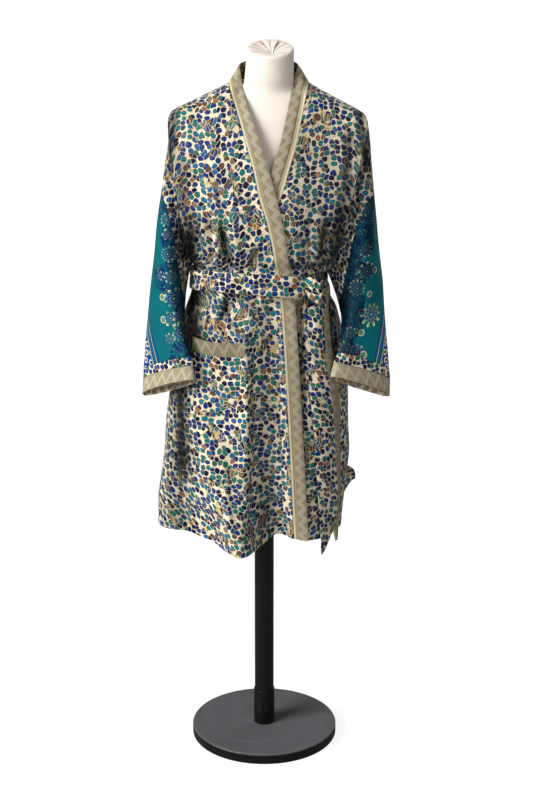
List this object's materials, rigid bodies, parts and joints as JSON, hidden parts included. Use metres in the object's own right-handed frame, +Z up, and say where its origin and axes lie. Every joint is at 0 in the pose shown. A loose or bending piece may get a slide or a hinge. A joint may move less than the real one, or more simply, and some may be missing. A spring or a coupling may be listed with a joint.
{
  "type": "midi kimono on a dress form stand",
  "caption": "Knee-length printed wrap kimono with wide sleeves, bordered cuffs, patch pocket and tied belt, worn by a limbless dress form on a round-footed pole.",
  "frame": {"origin": "centre of the base disc's underside", "axes": "+X to the viewer's right, +Y from the garment's front to its back, +Z up along the pole"},
  "size_m": [0.5192, 0.32, 1.5405],
  "materials": {
    "printed_cloth": "soft satin, cream with small blue, teal and brown spots",
    "teal_cloth": "soft satin, teal with flower heads and leaves",
    "trim_band": "soft satin, olive beige with a pale zigzag",
    "jersey": "matt stretch jersey",
    "black_stand": "satin black"
  },
  "bodies": {
    "root": {"base_disc": "black_stand", "pole_socket": "black_stand", "pole": "black_stand", "dress_form": "jersey", "front_right": "printed_cloth", "front_left": "printed_cloth", "back": "printed_cloth", "neckband_right": "trim_band", "neckband_left": "trim_band", "neckband_back": "trim_band", "sleeve_right_upper": "printed_cloth", "sleeve_right_lower": "teal_cloth", "sleeve_right_strip": "printed_cloth", "sleeve_right_cuff": "trim_band", "sleeve_left_upper": "printed_cloth", "sleeve_left_lower": "teal_cloth", "sleeve_left_strip": "printed_cloth", "sleeve_left_cuff": "trim_band", "pocket": "printed_cloth", "pocket_band": "trim_band", "belt_waist": "printed_cloth", "belt_knot": "printed_cloth", "belt_tail_print": "printed_cloth", "belt_tail_trim": "trim_band"}
  },
  "joints": []
}
